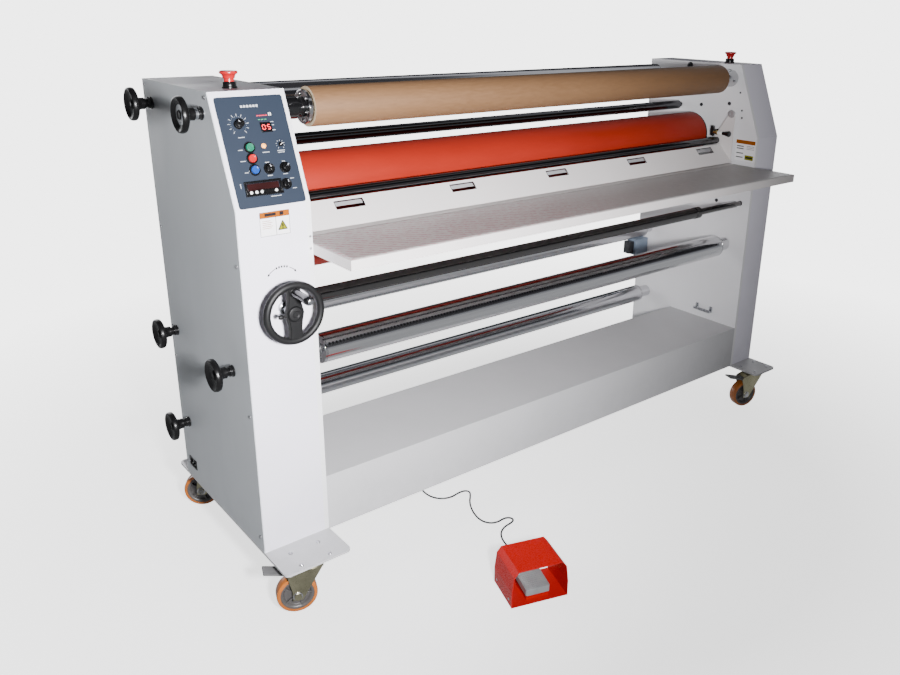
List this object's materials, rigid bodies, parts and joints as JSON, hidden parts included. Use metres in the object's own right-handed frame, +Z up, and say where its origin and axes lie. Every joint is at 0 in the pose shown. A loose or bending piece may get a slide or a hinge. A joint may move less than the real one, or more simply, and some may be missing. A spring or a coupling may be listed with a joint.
{
  "type": "wide-format cold roll laminator",
  "caption": "Wide-format cold roll laminator: steel rollers between two cabinets on casters, hinged nip guard, handwheel nip lift, control panel and foot switch.",
  "frame": {"origin": "centre of the footprint box at floor level", "axes": "+X along the rollers from the control cabinet to the bearing cabinet, +Y from the operator's side to the back, +Z up"},
  "size_m": [2.054, 1.0159, 1.27],
  "materials": {
    "cream_paint": "fine-textured powder coat",
    "slate_overlay": "matt printed film",
    "black_plastic": "moulded, slight sheen",
    "red_plastic": "glossy moulded",
    "green_plastic": "glossy moulded",
    "blue_plastic": "glossy moulded",
    "grey_plastic": "moulded",
    "cast_grey": "painted casting",
    "zinc_steel": "yellow zinc plated",
    "dark_steel": "blackened, satin",
    "machined_steel": "turned",
    "polished_chrome": "polished",
    "satin_aluminium": "satin anodised",
    "red_silicone": "ground silicone",
    "kraft_paper": "wound kraft paper",
    "cable_rubber": "matt cable sheath",
    "orange_polyurethane": "cast polyurethane tread"
  },
  "bodies": {
    "frame": {"left_cabinet_shell": "cream_paint", "left_side_cover": "cream_paint", "right_cabinet_shell": "cream_paint", "right_side_cover": "cream_paint", "side_frames": "cream_paint", "base_plates": "cream_paint", "base_beam": "cream_paint", "infeed_table": "cream_paint", "control_overlay": "slate_overlay", "panel_fittings": "black_plastic", "panel_screws": "zinc_steel", "drive_and_bearings": "dark_steel", "side_fittings": "dark_steel", "cord_gland": "black_plastic", "foot_switch_hood": "red_plastic", "foot_switch_cord": "cable_rubber"},
    "guard": {"nip_guard": "cream_paint"},
    "guard_idler": {"guard_idler": "polished_chrome"},
    "lower_nip": {"lower_nip_sleeve": "red_silicone", "lower_nip_shaft": "machined_steel"},
    "lift": {"nip_lift_blocks": "dark_steel"},
    "upper_nip": {"upper_nip_sleeve": "red_silicone", "upper_nip_shaft": "machined_steel"},
    "supply": {"supply_core_tube": "kraft_paper", "supply_shaft": "machined_steel"},
    "rear_top": {"rear_top_roller": "satin_aluminium"},
    "rear_mid": {"rear_mid_roller": "satin_aluminium"},
    "scale_takeup": {"scale_takeup_roller": "polished_chrome"},
    "rear_low": {"rear_low_roller": "satin_aluminium"},
    "upper_idler": {"upper_idler": "polished_chrome"},
    "deflector": {"deflector_roller": "dark_steel"},
    "handwheel": {"nip_handwheel": "black_plastic"},
    "grip": {"handwheel_grip": "black_plastic"},
    "speed_dial": {"speed_dial": "black_plastic"},
    "trim_knob": {"trim_knob": "black_plastic"},
    "treadle": {"foot_treadle": "cast_grey"},
    "tension_knob_supply": {"tension_knob_supply": "black_plastic"},
    "tension_knob_rear_top": {"tension_knob_rear_top": "black_plastic"},
    "tension_knob_rear_mid": {"tension_knob_rear_mid": "black_plastic"},
    "tension_knob_front_mid": {"tension_knob_front_mid": "black_plastic"},
    "tension_knob_rear_low": {"tension_knob_rear_low": "black_plastic"},
    "start_button": {"start_button": "green_plastic"},
    "stop_button": {"stop_button": "red_plastic"},
    "reverse_button": {"reverse_button": "blue_plastic"},
    "mode_selector": {"mode_selector": "black_plastic"},
    "pedal_selector": {"pedal_selector": "black_plastic"},
    "fan_selector": {"fan_selector": "black_plastic"},
    "estop_left": {"estop_left": "red_plastic"},
    "estop_right": {"estop_right": "red_plastic"},
    "caster_fork_front_left": {"caster_fork_front_left": "zinc_steel"},
    "caster_wheel_front_left": {"caster_wheel_front_left": "orange_polyurethane"},
    "brake_pedal_front_left": {"brake_pedal_front_left": "grey_plastic"},
    "caster_fork_rear_left": {"caster_fork_rear_left": "zinc_steel"},
    "caster_wheel_rear_left": {"caster_wheel_rear_left": "orange_polyurethane"},
    "caster_fork_front_right": {"caster_fork_front_right": "zinc_steel"},
    "caster_wheel_front_right": {"caster_wheel_front_right": "orange_polyurethane"},
    "brake_pedal_front_right": {"brake_pedal_front_right": "grey_plastic"},
    "caster_fork_rear_right": {"caster_fork_rear_right": "zinc_steel"},
    "caster_wheel_rear_right": {"caster_wheel_rear_right": "orange_polyurethane"}
  },
  "joints": [
    {"name": "guard_tilt", "type": "hinge", "parent": "frame", "child": "guard", "pos_m": [0, 0.029, 1.068], "axis": [-1, 0, 0], "range_deg": [0, 75]},
    {"name": "guard_idler_spin", "type": "hinge", "parent": "guard", "child": "guard_idler", "pos_m": [0, 0.079, 0.973], "axis": [1, 0, 0], "continuous": true},
    {"name": "lower_nip_spin", "type": "hinge", "parent": "frame", "child": "lower_nip", "pos_m": [0, 0.181, 0.84], "axis": [1, 0, 0], "continuous": true},
    {"name": "nip_lift", "type": "slide", "parent": "frame", "child": "lift", "axis": [0, 0, 1], "range_m": [0, 0.02]},
    {"name": "upper_nip_spin", "type": "hinge", "parent": "lift", "child": "upper_nip", "pos_m": [0, 0.181, 0.9884], "axis": [1, 0, 0], "continuous": true},
    {"name": "handwheel_turn", "type": "hinge", "parent": "frame", "child": "handwheel", "pos_m": [-0.875, -0.122, 0.764], "axis": [0, 1, 0], "range_deg": [0, 720]},
    {"name": "grip_spin", "type": "hinge", "parent": "handwheel", "child": "grip", "pos_m": [-0.875, -0.162, 0.814], "axis": [0, 1, 0], "continuous": true},
    {"name": "supply_spin", "type": "hinge", "parent": "frame", "child": "supply", "pos_m": [0, 0.051, 1.187], "axis": [1, 0, 0], "continuous": true},
    {"name": "rear_top_spin", "type": "hinge", "parent": "frame", "child": "rear_top", "pos_m": [0, 0.362, 1.18], "axis": [1, 0, 0], "continuous": true},
    {"name": "rear_mid_spin", "type": "hinge", "parent": "frame", "child": "rear_mid", "pos_m": [0, 0.368, 0.596], "axis": [1, 0, 0], "continuous": true},
    {"name": "scale_takeup_spin", "type": "hinge", "parent": "frame", "child": "scale_takeup", "pos_m": [0, 0.012, 0.605], "axis": [1, 0, 0], "continuous": true},
    {"name": "rear_low_spin", "type": "hinge", "parent": "frame", "child": "rear_low", "pos_m": [0, 0.356, 0.333], "axis": [1, 0, 0], "continuous": true},
    {"name": "upper_idler_spin", "type": "hinge", "parent": "frame", "child": "upper_idler", "pos_m": [0, 0.268, 1.0795], "axis": [1, 0, 0], "continuous": true},
    {"name": "deflector_spin", "type": "hinge", "parent": "frame", "child": "deflector", "pos_m": [0, -0.034, 0.762], "axis": [1, 0, 0], "continuous": true},
    {"name": "tension_knob_supply_turn", "type": "hinge", "parent": "frame", "child": "tension_knob_supply", "pos_m": [-1.001, 0.051, 1.187], "axis": [1, 0, 0], "continuous": true},
    {"name": "tension_knob_rear_top_turn", "type": "hinge", "parent": "frame", "child": "tension_knob_rear_top", "pos_m": [-1.001, 0.362, 1.18], "axis": [1, 0, 0], "continuous": true},
    {"name": "tension_knob_rear_mid_turn", "type": "hinge", "parent": "frame", "child": "tension_knob_rear_mid", "pos_m": [-1.001, 0.368, 0.596], "axis": [1, 0, 0], "continuous": true},
    {"name": "tension_knob_front_mid_turn", "type": "hinge", "parent": "frame", "child": "tension_knob_front_mid", "pos_m": [-1.001, 0.012, 0.605], "axis": [1, 0, 0], "continuous": true},
    {"name": "tension_knob_rear_low_turn", "type": "hinge", "parent": "frame", "child": "tension_knob_rear_low", "pos_m": [-1.001, 0.356, 0.333], "axis": [1, 0, 0], "continuous": true},
    {"name": "start_button_press", "type": "slide", "parent": "frame", "child": "start_button", "axis": [0, 0.926, -0.3774], "range_m": [0, 0.003], "stiffness_N_per_m": 400},
    {"name": "stop_button_press", "type": "slide", "parent": "frame", "child": "stop_button", "axis": [0, 0.926, -0.3774], "range_m": [0, 0.003], "stiffness_N_per_m": 400},
    {"name": "reverse_button_press", "type": "slide", "parent": "frame", "child": "reverse_button", "axis": [0, 0.926, -0.3774], "range_m": [0, 0.003], "stiffness_N_per_m": 400},
    {"name": "mode_selector_turn", "type": "hinge", "parent": "frame", "child": "mode_selector", "pos_m": [-0.873, -0.0423, 1.07279], "axis": [0, -0.926, 0.3774], "range_deg": [-45, 45]},
    {"name": "pedal_selector_turn", "type": "hinge", "parent": "frame", "child": "pedal_selector", "pos_m": [-0.836, -0.04267, 1.07186], "axis": [0, -0.926, 0.3774], "range_deg": [0, 60]},
    {"name": "fan_selector_turn", "type": "hinge", "parent": "frame", "child": "fan_selector", "pos_m": [-0.842, -0.05626, 1.03852], "axis": [0, -0.926, 0.3774], "range_deg": [0, 60]},
    {"name": "speed_dial_turn", "type": "hinge", "parent": "frame", "child": "speed_dial", "pos_m": [-0.918, -0.00456, 1.16539], "axis": [0, -0.926, 0.3774], "range_deg": [-135, 135]},
    {"name": "trim_knob_turn", "type": "hinge", "parent": "frame", "child": "trim_knob", "pos_m": [-0.834, -0.02343, 1.11909], "axis": [0, -0.926, 0.3774], "range_deg": [-135, 135]},
    {"name": "estop_left_press", "type": "slide", "parent": "frame", "child": "estop_left", "axis": [0, 0, -1], "range_m": [0, 0.006], "stiffness_N_per_m": 400},
    {"name": "estop_right_press", "type": "slide", "parent": "frame", "child": "estop_right", "axis": [0, 0, -1], "range_m": [0, 0.006], "stiffness_N_per_m": 400},
    {"name": "treadle_press", "type": "hinge", "parent": "frame", "child": "treadle", "pos_m": [-0.40649, -0.39666, 0.017], "axis": [0.9511, -0.309, 0], "range_deg": [0, 3.5], "stiffness_Nm_per_rad": 8, "springref_deg": -3.44},
    {"name": "caster_front_left_swivel", "type": "hinge", "parent": "frame", "child": "caster_fork_front_left", "pos_m": [-0.885, -0.142, 0.13], "axis": [0, 0, 1], "continuous": true},
    {"name": "caster_front_left_roll", "type": "hinge", "parent": "caster_fork_front_left", "child": "caster_wheel_front_left", "pos_m": [-0.92093, -0.12963, 0.05], "axis": [-0.3256, -0.9455, 0], "continuous": true},
    {"name": "brake_front_left_press", "type": "hinge", "parent": "caster_fork_front_left", "child": "brake_pedal_front_left", "pos_m": [-0.93417, -0.12507, 0.112], "axis": [-0.3256, -0.9455, 0], "range_deg": [0, 18], "stiffness_Nm_per_rad": 1.5, "springref_deg": -8.59},
    {"name": "caster_rear_left_swivel", "type": "hinge", "parent": "frame", "child": "caster_fork_rear_left", "pos_m": [-0.887, 0.45, 0.13], "axis": [0, 0, 1], "continuous": true},
    {"name": "caster_rear_left_roll", "type": "hinge", "parent": "caster_fork_rear_left", "child": "caster_wheel_rear_left", "pos_m": [-0.91923, 0.47014, 0.05], "axis": [-0.5299, -0.848, 0], "continuous": true},
    {"name": "caster_front_right_swivel", "type": "hinge", "parent": "frame", "child": "caster_fork_front_right", "pos_m": [0.965, -0.136, 0.13], "axis": [0, 0, 1], "continuous": true},
    {"name": "caster_front_right_roll", "type": "hinge", "parent": "caster_fork_front_right", "child": "caster_wheel_front_right", "pos_m": [0.92866, -0.12489, 0.05], "axis": [-0.2924, -0.9563, 0], "continuous": true},
    {"name": "brake_front_right_press", "type": "hinge", "parent": "caster_fork_front_right", "child": "brake_pedal_front_right", "pos_m": [0.91527, -0.1208, 0.112], "axis": [-0.2924, -0.9563, 0], "range_deg": [0, 18], "stiffness_Nm_per_rad": 1.5, "springref_deg": -8.59},
    {"name": "caster_rear_right_swivel", "type": "hinge", "parent": "frame", "child": "caster_fork_rear_right", "pos_m": [0.965, 0.45, 0.13], "axis": [0, 0, 1], "continuous": true},
    {"name": "caster_rear_right_roll", "type": "hinge", "parent": "caster_fork_rear_right", "child": "caster_wheel_rear_right", "pos_m": [0.92783, 0.4579, 0.05], "axis": [-0.2079, -0.9781, 0], "continuous": true}
  ],
  "couplings": [
    {"joint": "handwheel_turn", "follows": "nip_lift", "rad_per_m": 628.26},
    {"joint": "upper_nip_spin", "follows": "lower_nip_spin", "ratio": -1}
  ]
}
